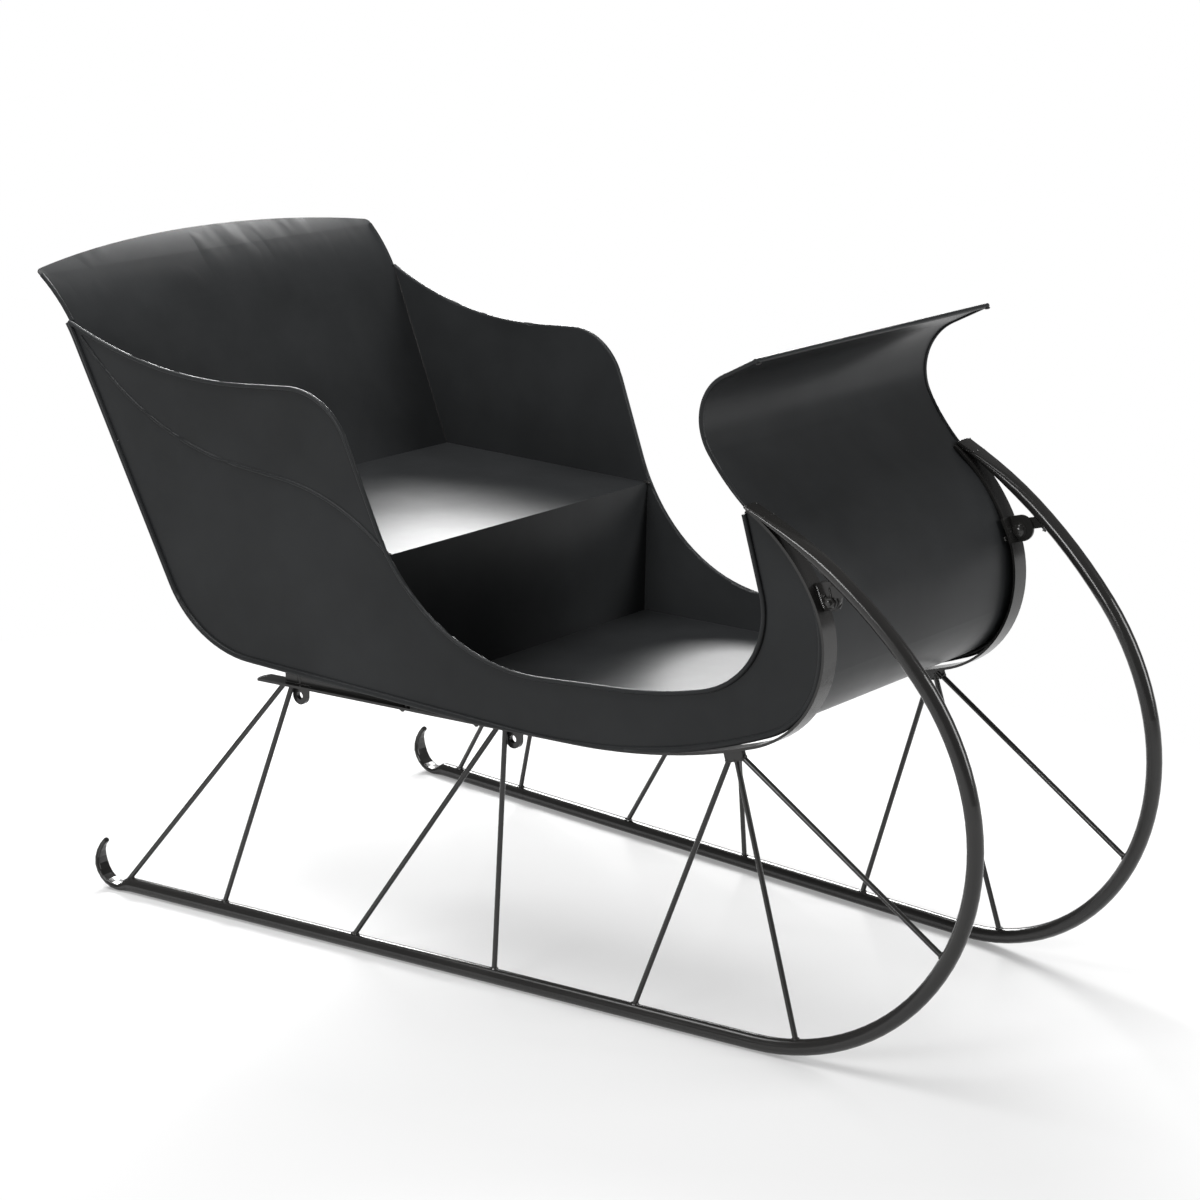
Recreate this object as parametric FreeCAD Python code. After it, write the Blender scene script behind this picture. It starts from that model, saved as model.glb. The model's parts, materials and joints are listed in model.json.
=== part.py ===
"""Small one-seat sleigh of painted sheet steel on two bent tube runners.

Frame: +X is the way it travels, +Y its left-hand side, +Z up. The origin is on the floor,
below the middle of the bounding box. Sizes are in millimetres and angles in degrees.
The body is drawn first from its side outlines, which lie in the XZ plane and are traced from the
rear. Everything that has a left and a right is drawn on the left and mirrored.
"""
import FreeCAD, Part
import collections
import math
import os

V = FreeCAD.Vector

# Stock
SHEET = 1.2            # body plates
TUBE_D = 19.05         # runner tube
ROD_D = 6.5            # braces
RAIL_W = 25.4          # flat bar under the body
RAIL_T = 3.2
EDGE_ROLL_D = 5.6      # rolled edge of the armrests and of the dash
ARM_ROLL_OUT = 0.2     # the armrest's roll is turned outwards, and stays this far off the inner face
LIP_ROLL_D = 5.6       # hem down each side of the lip
SWAGE_D = 4.6          # half-round bead across the side panel, on its outside
HEM_D = 7.5            # bead round the lower edge of the side panel
HEM_DROP = 2.8         # its middle, beyond the panel's edge
HEM_RISE = 1.0         # its middle, out from the panel's face

# Body: half width of the outer side faces, which narrow to the front and lean outwards
BODY_HALF = 253.5      # at x = 0 and z = BODY_HALF_Z
BODY_HALF_Z = 640.0
BODY_TAPER = 0.081     # half width lost for each mm forwards
BODY_LEAN = 0.030      # half width gained for each mm upwards

# Shell outline, outer face, traced from the side corner of the lip: down the back, under and up the dash
LIP_X = -653.3
LIP_Z = 804.8
LIP_HEADING = -37.9
LIP_R = 223.4
LIP_TURN = 20.85       # above the side panels
BACK_BEND_TURN = 6.55  # below their rear corner
LIP_ARCH = 36.0        # rise of the lip's top edge at the middle
LIP_BLANK = 1.2        # share of that rise in the sheet before its edge is cut
LIP_TIP_R = 9.0        # rounding of its side corners
BACK_L = 327.0
HEEL_R = 141.0
HEEL_TURN = 61.9
BELLY_L = 409.5
BELLY_R = 777.1
BELLY_TURN = 25.8
BOW_R = 102.1
BOW_TURN = 54.2
SHOULDER_R = 158.7
SHOULDER_TURN = 68.8
DASH_R = 254.2
DASH_LOW_TURN = 6.0    # between the side panels
DASH_TURN = 17.3       # above them
CURL_R = 62.1
CURL_TURN = 95.2
CURL_L = 50.1
DASH_FLARE = 0.10      # half width gained by the dash for each mm above the side panels
DASH_STEP = 2.0        # step out of the dash at the notch
NOTCH_W = 8.0          # width of the side panel's front tip

# Upper edge of the side panel, traced from its rear corner
ARM_HEADING = -24.5
ARM_DIP_R = 594.0
ARM_DIP_TURN = 27.9
ARM_L = 67.4
ARM_NOSE_R = 88.5
ARM_NOSE_TURN = 71.15
ARM_DROP_L = 110.5
DOOR_REAR_R = 243.1
DOOR_REAR_TURN = 70.6
DOOR_L = 109.2
DOOR_MID_R = 547.4
DOOR_MID_TURN = 11.8
DOOR_FRONT_R = 105.5   # turns up until it points at the notch

# Half-round bead across the side panel, from the same corner down to the door edge
SWAGE_START_DX = 16.9  # start, from the corner
SWAGE_START_DZ = -17.5
SWAGE_HEADING = -46.8
SWAGE_L = 28.0
SWAGE_DIP_R = 379.0
SWAGE_DIP_TURN = 40.0
SWAGE_MID_L = 64.3
SWAGE_CROWN_R = 287.5
SWAGE_CROWN_TURN = 31.1
SWAGE_TAIL_L = 22.0

# Seat and floor
SEAT_Z = 506.5         # top of the seat plate
SEAT_FRONT_X = -108.0
FLOOR_Z = 333.0        # top of the floor plate at the foot of the riser
FLOOR_SLOPE = 1.9      # rising forwards
FLOOR_LAP = 30.0       # floor plate behind the riser

# Rail
RAIL_TAIL_X = -324.0
RAIL_L = 480.9
RAIL_RISE_R = 770.1
RAIL_RISE_TURN = 18.8
RAIL_BOW_R = 132.8
RAIL_BOW_TURN = 96.0
RAIL_SPREAD = 7.5      # step out from the side panel's face, beyond the spread's end
SPREAD_X = 196.0       # where the rail starts to leave the side panel's face
SPREAD_TURN = 3.3      # each of its two bends, seen from above
STUD_D = 8.0           # studs that hold the body up from the rail
STUD_STATIONS = (-262.0, -97.0)

# Runners: each lies in its own plane, toed in and leaning slightly inwards
RUNNER_HALF = 265.85   # axis, at x = 0 on the floor
RUNNER_TOE = 5.09
RUNNER_LEAN = 0.73
RUNNER_TAIL_U = -520.0     # where the tube starts to flatten
RUNNER_NOSE_U = 420.0      # end of the straight
NOSE_R = 269.0
NOSE_TURN = 103.6
NOSE_TOP_R = 315.0
NOSE_TOP_TURN = 26.9
NOSE_END_ROUND = 0.55      # share of the last stretch, up to the rail's end, that is still round
END_HALF_T = 2.7           # flattened end
END_SINK = 0.5             # let into the rail at the weld
TAIL_RUN = 20.0            # flattening stretch before the curl
TAIL_R = 34.0
TAIL_TURN = 137.0
TAIL_LIFT = 0.5            # rise of its underside from the floor
TAIL_HALF_W = 11.0
TAIL_HALF_T = 4.0
TAIL_TIP_HALF_W = 4.5
TAIL_TIP_HALF_T = 3.2
OVAL_FAN = 6.0             # turn of an oval section's broad arcs to each side of their middle
PRESS_SECTIONS = 5         # along each stretch where the tube is pressed flat
CURL_SECTIONS = 9

# Braces: foot on the runner and head under the rail, by distance forwards
RAIL_BRACES = {
    "rear_1": (-493.0, -284.0),
    "rear_2": (-365.0, -271.0),
    "mid_1": (-160.0, 42.0),
    "mid_2": (57.0, 53.5),
}
REAR_FOOT_RIGHT = -529.0   # foot of the first rear brace on the right-hand side
GUSSET_BRACES = {
    "front_1": (254.0, 366.0),
    "front_2": (475.0, 376.5),
}
NOSE_BRACE_TURN = 63.5     # foot of the third front brace, round the nose from the floor
NOSE_BRACE_HEAD_X = 384.0
NOSE_BRACE_DROP = 8.0      # its head, below the rail

# Eye lugs and front gusset
LUG_T = 6.0
LUG_R = 11.5
LUG_HOLE_D = 10.0
LUG_DROP = 12.0
LUG_STATIONS = {"rear": -262.0, "mid": 62.0}
GUSSET_X = 373.0
GUSSET_L = 26.0
GUSSET_DROP = 11.0
GUSSET_T = 7.0
GUSSET_OUT = 4.0       # out from the middle of the rail
GUSSET_ROUND = 0.4     # rounding of its lower corners, as a share of its drop

# Bracket between the rail and the runner: one leg lies on the rail, the other stands forward from it
BRACKET_Z = 541.0      # of its middle, on the rail's outer face
BRACKET_W = 32.0       # height of both legs
BRACKET_T = 3.0
BRACKET_FLAT = 19.0    # width of the leg on the rail, inboard from the rail's middle
BRACKET_REACH = 29.0   # of the standing leg, whose end is round
BRACKET_DIP = 11.0     # of the standing leg, below the square to the rail
TUBE_LUG_W = 14.0
TUBE_LUG_T = 3.0
TUBE_LUG_LOW = 3.0     # its lower edge, below the middle of the standing leg
TUBE_LUG_LAP = 12.0    # over the end of the standing leg
TUBE_LUG_L = 60.0      # before it is trimmed on the tube

REACH = 1000.0         # how far blanks and cutting tools run past the part


Step = collections.namedtuple("Step", "edge start start_heading end end_heading")


def towards(heading):
    return V(math.cos(heading), 0, math.sin(heading))


def left_of(heading):
    return V(-math.sin(heading), 0, math.cos(heading))


class Outline:
    """Chain of tangent lines and arcs in the XZ plane; a positive turn is to the left."""

    def __init__(self, place, heading):
        self.place = place
        self.heading = math.radians(heading)
        self.steps = []
        self.marks = {"start": 0}

    def line(self, length):
        self.steps.append((length, None, 0.0))
        return self

    def arc(self, radius, turn):
        self.steps.append((None, radius, math.radians(turn)))
        return self

    def mark(self, name):
        """Name the place that the chain has come to."""
        self.marks[name] = len(self.steps)
        return self

    def arc_for(self, target):
        """Radius and turn of the arc that leads from here to the target."""
        place, heading = self.point()
        chord = target - place
        lead = math.remainder(math.atan2(chord.z, chord.x) - heading, 2 * math.pi)
        return chord.Length / (2 * math.sin(abs(lead))), math.degrees(2 * lead)

    def arc_towards(self, radius, target):
        """Left-hand arc that ends where its tangent meets the target, and the line to it."""
        place, heading = self.point()
        reach = target - (place + left_of(heading) * radius)
        run = math.sqrt(reach.x ** 2 + reach.z ** 2 - radius ** 2)
        leaving = math.atan2(reach.z, reach.x) + math.pi / 2 - math.atan2(run, radius)
        return self.arc(radius, math.degrees(leaving - heading) % 360.0).line(run)

    def walk(self, shift=0.0, first="start", last="end"):
        """Steps between two marks of the chain moved to its left by shift."""
        heading = self.heading
        here = self.place + left_of(heading) * shift
        made = []
        for length, radius, turn in self.steps:
            onward = heading + turn
            if radius is None:
                there = here + towards(heading) * length
                edge = Part.LineSegment(here, there).toShape()
            else:
                reach = math.copysign(radius, turn) - shift
                centre = here + left_of(heading) * reach
                middle = centre - left_of(heading + turn / 2) * reach
                there = centre - left_of(onward) * reach
                edge = Part.Arc(here, middle, there).toShape()
            made.append(Step(edge, here, heading, there, onward))
            here, heading = there, onward
        marks = dict(self.marks, end=len(self.steps))
        return made[marks[first]:marks[last]]

    def point(self, name="end", shift=0.0):
        """Place and heading at a mark of the shifted chain."""
        steps = self.walk(shift, "start", name)
        if steps:
            return steps[-1].end, steps[-1].end_heading
        return self.place + left_of(self.heading) * shift, self.heading


class Upright:
    """Plane that stands on edge: y = base + slope_x * x + slope_z * z."""

    def __init__(self, base, slope_x, slope_z):
        self.base = base
        self.slope_x = slope_x
        self.slope_z = slope_z

    def put(self, place):
        return V(place.x, self.base + self.slope_x * place.x + self.slope_z * place.z, place.z)

    def aim(self, heading):
        way = towards(heading)
        way.y = self.slope_x * way.x + self.slope_z * way.z
        return way.normalize()


# General shapes

def closed_face(edges):
    """Face of a closed set of edges in the XZ plane."""
    return Part.Face(Part.Wire(Part.__sortEdges__(edges)))


def lines_through(points):
    return [Part.LineSegment(a, b).toShape() for a, b in zip(points, points[1:])]


def band(outline, inner, outer, first="start", last="end"):
    """Strip between two offsets of an outline."""
    a = outline.walk(inner, first, last)
    b = outline.walk(outer, first, last)
    caps = lines_through([a[0].start, b[0].start]) + lines_through([a[-1].end, b[-1].end])
    return closed_face([step.edge for step in a + b] + caps)


def across(face):
    """Extrude a face of the XZ plane to both sides."""
    return face.translated(V(0, -REACH, 0)).extrude(V(0, 2 * REACH, 0))


def side_y(x, z):
    """Outer face of the left side panel."""
    return BODY_HALF - BODY_TAPER * x + BODY_LEAN * (z - BODY_HALF_Z)


def side_plane(rise):
    """The left side panel's outer face, moved out by rise."""
    return Upright(BODY_HALF - BODY_LEAN * BODY_HALF_Z + rise, -BODY_TAPER, BODY_LEAN)


def block(y_low, y_high):
    """Block between two faces given as functions of x and z."""
    corner = []
    for x in (-REACH, REACH):
        for z in (-REACH, 2 * REACH):
            corner.append((V(x, y_low(x, z), z), V(x, y_high(x, z), z)))
    a, b, c, d = corner
    rings = [
        (a[0], c[0], d[0], b[0]), (a[1], c[1], d[1], b[1]), (a[0], a[1], b[1], b[0]),
        (c[0], c[1], d[1], d[0]), (a[0], a[1], c[1], c[0]), (b[0], b[1], d[1], d[0]),
    ]
    faces = [Part.Face(Part.makePolygon(list(ring) + [ring[0]])) for ring in rings]
    solid = Part.makeSolid(Part.makeShell(faces))
    if solid.Volume < 0:
        solid.reverse()
    return solid


def between_sides(shape):
    """Trim a cross sheet to the inner faces of the side panels."""
    inner = block(lambda x, z: SHEET - side_y(x, z), lambda x, z: side_y(x, z) - SHEET)
    return shape.common(inner)


def mirrored(shape):
    """The right-hand copy of a left-hand shape."""
    return shape.mirror(V(0, 0, 0), V(0, 1, 0))


def one_solid(shape):
    """The single solid of a boolean result."""
    solids = shape.Solids
    if len(solids) != 1:
        raise ValueError("expected one solid, got %d" % len(solids))
    return solids[0]


def largest(shape):
    """What is left of a trimmed bar or plate, without its cut-off ends."""
    return max(shape.Solids, key=lambda solid: solid.Volume)


def arc_from(start, ahead, end):
    """Arc from a place, along a direction, to another place."""
    chord = end - start
    side = ahead - chord * (ahead.dot(chord) / chord.dot(chord))
    rise = chord.Length / 2 * math.tan(ahead.getAngle(chord) / 2)
    middle = (start + end) / 2 + side.normalize() * rise
    return Part.Arc(start, middle, end).toShape()


def smooth_joint(start, ahead, end, onward):
    """Where the two arcs of a smooth bend meet, and their direction there."""
    chord = end - start
    opening = 2 * (1 - ahead.dot(onward))
    along = chord.dot(ahead + onward)
    reach = (math.sqrt(along ** 2 + opening * chord.dot(chord)) - along) / opening
    near = start + ahead * reach
    far = end - onward * reach
    return (near + far) / 2, (far - near).normalize()


def pipe(edges, radius):
    """Round bar along smooth edges."""
    first = edges[0]
    start = first.valueAt(first.FirstParameter)
    section = Part.makeCircle(radius, start, first.tangentAt(first.FirstParameter))
    return Part.Wire(edges).makePipe(Part.Face(Part.Wire([section])))


def bar_on(plane, steps, diameter):
    """Round bar along steps laid on a plane, where each arc becomes two that meet smoothly."""
    edges = []
    for step in steps:
        start, end = plane.put(step.start), plane.put(step.end)
        if step.start_heading == step.end_heading:
            edges.append(Part.LineSegment(start, end).toShape())
        else:
            ahead = plane.aim(step.start_heading)
            joint, way = smooth_joint(start, ahead, end, plane.aim(step.end_heading))
            edges.append(arc_from(start, ahead, joint))
            edges.append(arc_from(joint, way, end))
    return pipe(edges, diameter / 2)


# Side outlines

lip_crown_turn = math.degrees(math.asin(LIP_ARCH / LIP_R))
lip_blank_turn = lip_crown_turn * LIP_BLANK
lip_hem_turn = math.degrees(LIP_TIP_R / LIP_R)
lip_blank = Outline(V(LIP_X, 0, LIP_Z), LIP_HEADING + 180.0).arc(LIP_R, lip_blank_turn)

shell = Outline(lip_blank.point()[0], LIP_HEADING + lip_blank_turn)
shell.arc(LIP_R, -lip_blank_turn).mark("tip")
shell.arc(LIP_R, -lip_hem_turn).mark("hem").arc(LIP_R, lip_hem_turn - LIP_TURN).mark("corner")
shell.arc(LIP_R, -BACK_BEND_TURN).line(BACK_L).mark("back foot").arc(HEEL_R, HEEL_TURN).mark("heel")
shell.line(BELLY_L).mark("belly rise").arc(BELLY_R, BELLY_TURN).mark("bow")
shell.arc(BOW_R, BOW_TURN).arc(SHOULDER_R, SHOULDER_TURN).arc(DASH_R, -DASH_LOW_TURN).mark("notch")
shell.arc(DASH_R, -DASH_TURN).arc(CURL_R, -CURL_TURN).line(CURL_L)

corner_place = shell.point("corner")[0]
notch_place = shell.point("notch")[0]
arm_tip = shell.point("notch", NOTCH_W)[0]

arm = Outline(corner_place, ARM_HEADING)
arm.arc(ARM_DIP_R, ARM_DIP_TURN).line(ARM_L).arc(ARM_NOSE_R, -ARM_NOSE_TURN).line(ARM_DROP_L)
arm.arc(DOOR_REAR_R, DOOR_REAR_TURN).line(DOOR_L).arc(DOOR_MID_R, DOOR_MID_TURN)
arm.arc_towards(DOOR_FRONT_R, arm_tip)

swage = Outline(corner_place + V(SWAGE_START_DX, 0, SWAGE_START_DZ), SWAGE_HEADING)
swage.line(SWAGE_L).arc(SWAGE_DIP_R, SWAGE_DIP_TURN).line(SWAGE_MID_L).arc(SWAGE_CROWN_R, -SWAGE_CROWN_TURN)
swage.line(SWAGE_TAIL_L)

belly_place, belly_heading = shell.point("belly rise")
RAIL_TOP_Z = belly_place.z - BELLY_R * (1 - math.cos(belly_heading))
RAIL_LOW_Z = RAIL_TOP_Z - RAIL_T
rail = Outline(V(RAIL_TAIL_X, 0, RAIL_LOW_Z), 0.0)
rail.line(RAIL_L).mark("rise").arc(RAIL_RISE_R, RAIL_RISE_TURN).mark("bow").arc(RAIL_BOW_R, RAIL_BOW_TURN)
rail.arc(*rail.arc_for(shell.point("notch", -RAIL_T)[0]))

# Rail seen from above, its outboard edge: y stands in place of z
taper_heading = -math.atan(BODY_TAPER)
spread_r = RAIL_SPREAD * math.cos(taper_heading) / (2 * (1 - math.cos(math.radians(SPREAD_TURN))))
spread_run = 2 * spread_r * math.sin(math.radians(SPREAD_TURN)) * math.cos(taper_heading)
rail_plan = Outline(V(RAIL_TAIL_X, 0, side_y(RAIL_TAIL_X, RAIL_LOW_Z)), math.degrees(taper_heading))
rail_plan.line((SPREAD_X - RAIL_TAIL_X) / math.cos(taper_heading))
rail_plan.arc(spread_r, SPREAD_TURN).arc(spread_r, -SPREAD_TURN)
rail_high_plan = Outline(rail_plan.point()[0] - towards(taper_heading) * REACH / 2, math.degrees(taper_heading))
rail_high_plan.line(REACH)
rail_plan.line(REACH / 2)


# Body

def make_side_panel():
    outer = [step.edge for step in shell.walk(0.0, "corner", "notch")]
    upper = [step.edge for step in arm.walk()]
    slab = closed_face(outer + upper + lines_through([arm_tip, notch_place])).extrude(V(0, REACH, 0))
    plate = slab.common(block(lambda x, z: side_y(x, z) - SHEET, side_y))
    roll = bar_on(side_plane(EDGE_ROLL_D / 2 + ARM_ROLL_OUT - SHEET), arm.walk(), EDGE_ROLL_D)
    outside = block(lambda x, z: side_y(x, z) - SHEET / 2, lambda x, z: REACH)
    bead = bar_on(side_plane(0.0), swage.walk(), SWAGE_D).common(outside)
    hem = bar_on(side_plane(HEM_RISE), shell.walk(-HEM_DROP, "corner", "notch"), HEM_D)
    under = across(band(rail, -HEM_D, RAIL_T))
    return one_solid(plate.fuse([roll, bead, hem]).cut(under))


def cabin():
    """Space inside the shell and between the side panels."""
    steps = shell.walk(SHEET, "corner", "notch")
    lid = lines_through([steps[-1].end, steps[0].start])
    return between_sides(across(closed_face([step.edge for step in steps] + lid)))


def make_back_panel():
    low = between_sides(across(band(shell, 0.0, SHEET, "corner", "heel")))
    lip = across(band(shell, 0.0, SHEET, "start", "corner"))
    lip = lip.common(block(lambda x, z: -side_y(x, z), side_y)).common(lip_arch())
    left = bar_on(side_plane(-LIP_ROLL_D / 2), shell.walk(SHEET / 2, "hem", "corner"), LIP_ROLL_D)
    return one_solid(low.fuse([lip, left, mirrored(left)]))


def lip_arch():
    """Room under the arched top edge of the lip and within its rounded corners, square to the sheet."""
    tip, heading = shell.point("tip")
    half = side_y(tip.x, tip.z)
    arch_r = (half ** 2 + LIP_ARCH ** 2) / (2 * LIP_ARCH)
    centre_up = LIP_ARCH - arch_r
    round_y = half - LIP_TIP_R
    round_up = centre_up + math.sqrt((arch_r - LIP_TIP_R) ** 2 - round_y ** 2)
    lead = math.atan2(round_y, round_up - centre_up)
    half_way = (lead + math.pi / 2) / 2

    def at(side, y, up):
        return tip - towards(heading) * up + V(0, side * y, 0)

    edges = []
    shoulders = []
    for side in (-1, 1):
        top = at(side, arch_r * math.sin(lead), centre_up + arch_r * math.cos(lead))
        bend = at(side, round_y + LIP_TIP_R * math.sin(half_way), round_up + LIP_TIP_R * math.cos(half_way))
        edges.append(Part.Arc(top, bend, at(side, half, round_up)).toShape())
        shoulders.append(top)
    edges.append(Part.Arc(shoulders[0], at(1, 0, LIP_ARCH), shoulders[1]).toShape())
    edges += lines_through([at(1, half, round_up), at(1, REACH, round_up), at(1, REACH, -REACH),
                            at(-1, REACH, -REACH), at(-1, REACH, round_up), at(-1, half, round_up)])
    off = left_of(heading) * REACH / 4
    return closed_face(edges).translated(off * -1).extrude(off * 2)


def make_belly_panel():
    return one_solid(between_sides(across(band(shell, 0.0, SHEET, "heel", "bow"))))


def dash_y(z):
    """Half width of the dash above the notch."""
    return side_y(notch_place.x, notch_place.z) + DASH_STEP + DASH_FLARE * (z - notch_place.z)


def make_dash_panel():
    low = between_sides(across(band(shell, 0.0, SHEET, "bow", "notch")))
    top = across(band(shell, 0.0, SHEET, "notch"))
    top = top.common(block(lambda x, z: -dash_y(z), lambda x, z: dash_y(z)))
    tip = shell.point("end", SHEET / 2)[0]
    half = dash_y(tip.z)
    crest = Part.makeCylinder(EDGE_ROLL_D / 2, 2 * half, V(tip.x, -half, tip.z), V(0, 1, 0))
    edge = Upright(dash_y(0.0) - EDGE_ROLL_D / 2, 0.0, DASH_FLARE)
    left = bar_on(edge, shell.walk(SHEET / 2, "notch"), EDGE_ROLL_D)
    return one_solid(low.fuse([top, crest, left, mirrored(left)]))


def make_seat_plate():
    slab = Part.makeBox(REACH, 2 * REACH, SHEET, V(SEAT_FRONT_X - REACH, -REACH, SEAT_Z - SHEET))
    return one_solid(slab.common(cabin()))


def floor_slab(depth, overlap):
    """Sloping slab with its top on the floor's top face, turned about the riser's foot."""
    slab = Part.makeBox(REACH, 2 * REACH, depth, V(SEAT_FRONT_X - overlap, -REACH, FLOOR_Z - depth))
    slab.rotate(V(SEAT_FRONT_X, 0, FLOOR_Z), V(0, 1, 0), -FLOOR_SLOPE)
    return slab


def make_floor_plate():
    return one_solid(floor_slab(SHEET, FLOOR_LAP).common(cabin()))


def make_seat_riser():
    slab = Part.makeBox(SHEET, 2 * REACH, SEAT_Z - SHEET, V(SEAT_FRONT_X - SHEET, -REACH, 0))
    return one_solid(slab.common(cabin()).cut(floor_slab(REACH, 2 * SHEET)))


# Undercarriage

def plan_slab(plan, low, high):
    """Strip of the rail's width along a plan outline, leaning with the side panel, between two heights."""
    face = band(plan, -RAIL_W, 0.0)
    face.rotate(V(0, 0, 0), V(1, 0, 0), -90.0)
    lean = V(0, BODY_LEAN, 1.0)
    face.translate(lean * (low - RAIL_LOW_Z) + V(0, 0, RAIL_LOW_Z))
    return face.extrude(lean * (high - low))


def make_rail():
    """Flat bar under the body and up the bow, with a slightly rounded tail."""
    strip = across(band(rail, 0.0, RAIL_T))
    waist = (RAIL_LOW_Z + notch_place.z) / 2
    low = strip.common(plan_slab(rail_plan, RAIL_LOW_Z - RAIL_T, waist))
    high = strip.common(plan_slab(rail_high_plan, waist, REACH))
    bar = low.fuse(high).removeSplitter()
    middle_y = rail_mid_y(RAIL_TAIL_X, RAIL_LOW_Z)
    tail = Part.makeCylinder(RAIL_W, 2 * RAIL_W, V(RAIL_TAIL_X + RAIL_W, middle_y, RAIL_LOW_Z - RAIL_W))
    ahead = Part.makeBox(REACH, REACH, REACH, V(RAIL_TAIL_X + RAIL_W, 0, 0))
    return one_solid(bar.common(tail.fuse(ahead)))


def rail_mid_y(x, z):
    """Middle of the rail's width on its lower stretch."""
    share = min(1.0, max(0.0, (x - SPREAD_X) / spread_run))
    ease_out = 2 * share ** 2 if share < 0.5 else 1 - 2 * (1 - share) ** 2
    return side_y(x, z) - RAIL_W / 2 + RAIL_SPREAD * ease_out


def make_studs():
    """Studs between the rail and the belly."""
    made = []
    for x in STUD_STATIONS:
        stud = Part.makeCylinder(STUD_D / 2, REACH / 10, V(x, rail_mid_y(x, RAIL_TOP_Z), RAIL_TOP_Z))
        made.append(one_solid(stud.common(under_belly())))
    return made


def under_belly():
    """Space below the belly's outer face."""
    steps = shell.walk(0.0, "back foot", "bow")
    a, b = steps[0].start, steps[-1].end
    return across(closed_face([step.edge for step in steps] + lines_through([a, V(a.x, 0, 0), V(b.x, 0, 0), b])))


def runner_place():
    turn = FreeCAD.Rotation(V(0, 0, 1), -RUNNER_TOE).multiply(FreeCAD.Rotation(V(1, 0, 0), RUNNER_LEAN))
    return FreeCAD.Placement(V(0, RUNNER_HALF, 0), turn)


def placed(shape):
    copy = shape.copy()
    copy.Placement = runner_place().multiply(copy.Placement)
    return copy


def runner_end():
    """Middle of the flattened end, laid on the rail's top end and brought into the runner's own plane."""
    place, heading = rail.point()
    seat = place - left_of(heading) * (END_HALF_T - END_SINK)
    normal = runner_place().Rotation.multVec(V(0, 1, 0))
    seat.y = RUNNER_HALF - (normal.x * seat.x + normal.z * seat.z) / normal.y
    return runner_place().inverse().multVec(seat)


def oval(place, heading, half_w, half_t):
    """Section across a run in the XZ plane, of four tangent arcs: half_w sideways, half_t in the plane."""
    sine = math.sin(math.radians(OVAL_FAN))
    cosine = math.cos(math.radians(OVAL_FAN))
    lean = (1 - sine) / cosine
    broad = (half_w - half_t * lean) / (sine - (1 - cosine) * lean)
    tight = (half_t - broad * (1 - cosine)) / cosine
    side = V(0, 1, 0)
    up = left_of(heading)
    corners = [side * (broad * sine * sx) + up * (tight * cosine * sz)
               for sx, sz in ((1, -1), (1, 1), (-1, 1), (-1, -1))]
    middles = [side * half_w, up * half_t, side * -half_w, up * -half_t]
    edges = []
    for i in range(4):
        a, b = corners[i], corners[(i + 1) % 4]
        edges.append(Part.Arc(place + a, place + middles[i], place + b).toShape())
    return Part.Wire(edges)


def ease(t):
    return t * t * (3 - 2 * t)


def squashed(half_t):
    """Half width of the tube pressed to a half thickness, its girth kept."""
    return half_t + math.pi * (TUBE_D / 2 - half_t) / 2


def stations(place, heading, radius, turn, count):
    """Places and headings along an arc, its two ends included."""
    made = [(place, heading)]
    for i in range(1, count + 1):
        made.append(Outline(place, math.degrees(heading)).arc(radius, turn * i / count).point())
    return made


def runner_top(place, heading, radius, turn):
    """Tube pressed flat along the last stretch of the runner."""
    sections = []
    for i, (at, ahead) in enumerate(stations(place, heading, radius, turn, PRESS_SECTIONS)):
        half_t = TUBE_D / 2 + (END_HALF_T - TUBE_D / 2) * ease(i / PRESS_SECTIONS)
        sections.append(oval(at, ahead, squashed(half_t), half_t))
    return Part.makeLoft(sections, True, True)


def runner_tail():
    """Tube pressed flat and curled up behind, drawn from the tube backwards."""
    sections = []
    for i in range(PRESS_SECTIONS + 1):
        share = ease(i / PRESS_SECTIONS)
        half_w = TUBE_D / 2 + (TAIL_HALF_W - TUBE_D / 2) * share
        half_t = TUBE_D / 2 + (TAIL_HALF_T - TUBE_D / 2) * share
        place = V(RUNNER_TAIL_U - TAIL_RUN * i / PRESS_SECTIONS, 0, half_t + TAIL_LIFT * share)
        sections.append(oval(place, math.pi, half_w, half_t))
    curl = stations(place, math.pi, TAIL_R, -TAIL_TURN, CURL_SECTIONS)
    for i, (at, ahead) in enumerate(curl[1:], start=1):
        share = ease(max(0.0, 2 * i / CURL_SECTIONS - 1))
        half_w = TAIL_HALF_W + (TAIL_TIP_HALF_W - TAIL_HALF_W) * share
        half_t = TAIL_HALF_T + (TAIL_TIP_HALF_T - TAIL_HALF_T) * share
        sections.append(oval(at, ahead, half_w, half_t))
    return Part.makeLoft(sections, True, True)


def make_runner():
    line = Outline(V(RUNNER_TAIL_U, 0, TUBE_D / 2), 0.0)
    line.line(RUNNER_NOSE_U - RUNNER_TAIL_U).arc(NOSE_R, NOSE_TURN).arc(NOSE_TOP_R, NOSE_TOP_TURN)
    radius, turn = line.arc_for(runner_end())
    line.arc(radius, turn * NOSE_END_ROUND)
    tube = pipe([step.edge for step in line.walk()], TUBE_D / 2)
    place, heading = line.point()
    top = runner_top(place, heading, radius, turn * (1 - NOSE_END_ROUND))
    return placed(one_solid(tube.fuse([top, runner_tail()])))


def make_brace(head, foot, trims):
    """Round brace from its head to the runner's axis, trimmed on what it meets."""
    start = head + (head - foot).normalize() * ROD_D
    bar = Part.makeCylinder(ROD_D / 2, (foot - start).Length, start, foot - start)
    return largest(bar.cut(trims))


def runner_axis(turn):
    """Place on the axis of the nose, by its turn from the floor."""
    a = math.radians(turn)
    return runner_place().multVec(V(RUNNER_NOSE_U + NOSE_R * math.sin(a), 0, TUBE_D / 2 + NOSE_R * (1 - math.cos(a))))


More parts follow.
